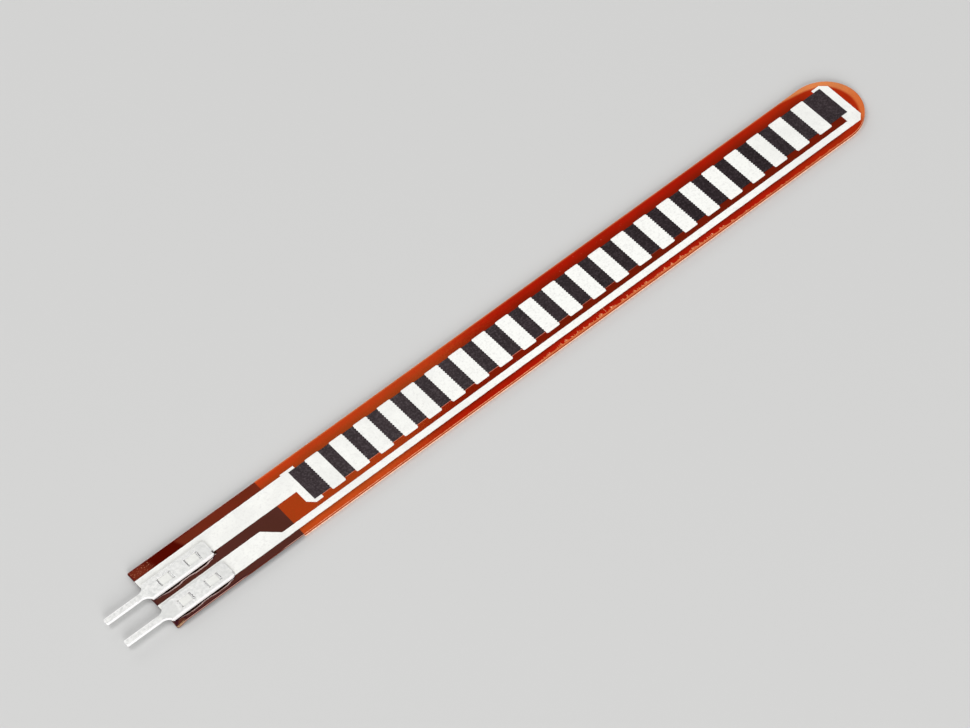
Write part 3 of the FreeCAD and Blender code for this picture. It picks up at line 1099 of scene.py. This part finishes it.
def buildCarbon(p):
    piece = cadCopy(p["node"], "carbonStrip")
    splitOutline(piece, p["stitch"])

    def onOutline(v):
        inside = (v.y - carbonLow[1], carbonHigh[1] - v.y, v.x - carbonLow[0], carbonHigh[0] - v.x)
        return min(inside) < 0.004

    roughen(piece, p, onOutline)
    addBevel(piece, p["softEdge"], 1)
    finishPiece(piece, p["node"], carbonInk)


buildCarbon(carbonStrip)
print("carbon ready")


# Pads: one is modelled, and every copy then gets its own teeth along the long edges

silverPads = {
    "count": 22,
    "toothPitch": 0.25,
    "toothDepth": 0.084,
    "depthSpread": (0.70, 1.05),
    "biteSpread": (0.8, 1.1),
    "leftShare": 0.8,
    "smoothShare": 0.12,
    "plainEnd": 0.15,
    "phases": 6,
    "smoothEdges": {(1, 1), (2, -1), (22, 1)},
    "softEdge": 0.007,
}


def buildPadMaster(p):
    piece = cadCopy("silver_pad_01", "padMaster")
    low, high = nodeBox("silver_pad_01")
    editMode(piece)
    step = p["toothPitch"] / p["phases"]
    cuts = int((high[1] - low[1] - 2 * p["plainEnd"]) / step)
    for k in range(cuts + 1):
        bpy.ops.mesh.select_all(action="SELECT")
        bpy.ops.mesh.bisect(plane_co=(0, low[1] + p["plainEnd"] + k * step, 0), plane_no=(0, 1, 0))
    bpy.ops.object.mode_set(mode="OBJECT")
    return piece


def cutTeeth(piece, number, p):
    low = [min(v.co[k] for v in piece.data.vertices) for k in range(3)]
    high = [max(v.co[k] for v in piece.data.vertices) for k in range(3)]
    step = p["toothPitch"] / p["phases"]
    editMode(piece)
    for side in (-1, 1):
        sideX = high[0] if side > 0 else low[0]
        depth = p["toothDepth"] * random.uniform(*p["depthSpread"]) * (1 if side > 0 else p["leftShare"])
        if (number, side) in p["smoothEdges"]:
            depth = p["toothDepth"] * p["smoothShare"]
        start = random.randrange(p["phases"])
        for phase in range(p["phases"]):
            bite = -0.5 * depth * math.cos(2 * math.pi * phase / p["phases"])

            def wanted(v):
                if abs(v.x - sideX) > 0.003:
                    return False
                place = (v.y - low[1] - p["plainEnd"]) / step
                return abs(place - round(place)) < 0.06 and (round(place) + start) % p["phases"] == phase

            if selectVertices(piece, wanted):
                bpy.ops.transform.translate(value=(-side * bite * random.uniform(*p["biteSpread"]), 0, 0))
    bpy.ops.object.mode_set(mode="OBJECT")


def buildPads(p):
    master = buildPadMaster(p)
    first = nodeBox("silver_pad_01")[0][0]
    for number in range(1, p["count"] + 1):
        node = "silver_pad_%02d" % number
        pad = bpy.data.objects.new("silverPad%02d" % number, master.data.copy())
        bpy.context.collection.objects.link(pad)
        pick(pad)
        bpy.ops.transform.translate(value=(nodeBox(node)[0][0] - first, 0, 0))
        bpy.ops.object.transform_apply(location=True, rotation=False, scale=False)
        cutTeeth(pad, number, p)
        addBevel(pad, p["softEdge"], 1, 50)
        finishPiece(pad, node, silverInk)
    pick(master)
    bpy.ops.object.delete()


buildPads(silverPads)
print("pads ready")


# Crimp terminals: tin-plated, lanced, bent through the film and clinched

terminals = {"feedTerminal": "feed_terminal", "returnTerminal": "return_terminal"}

for name, node in terminals.items():
    finishPiece(cadCopy(node, name), node, tinPlate)
print("terminals ready")


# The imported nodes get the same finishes, and the adhesive shows as it was packed

nodeFinishes = {
    "base_film": amberFilm,
    "backing_film": backFilm,
    "adhesive_layer": glueLine,
    "carbon_strip": carbonInk,
    "feed_terminal": tinPlate,
    "return_terminal": tinPlate,
}

for node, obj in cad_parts.items():
    obj.data.materials.clear()
    obj.data.materials.append(nodeFinishes.get(node, silverInk))
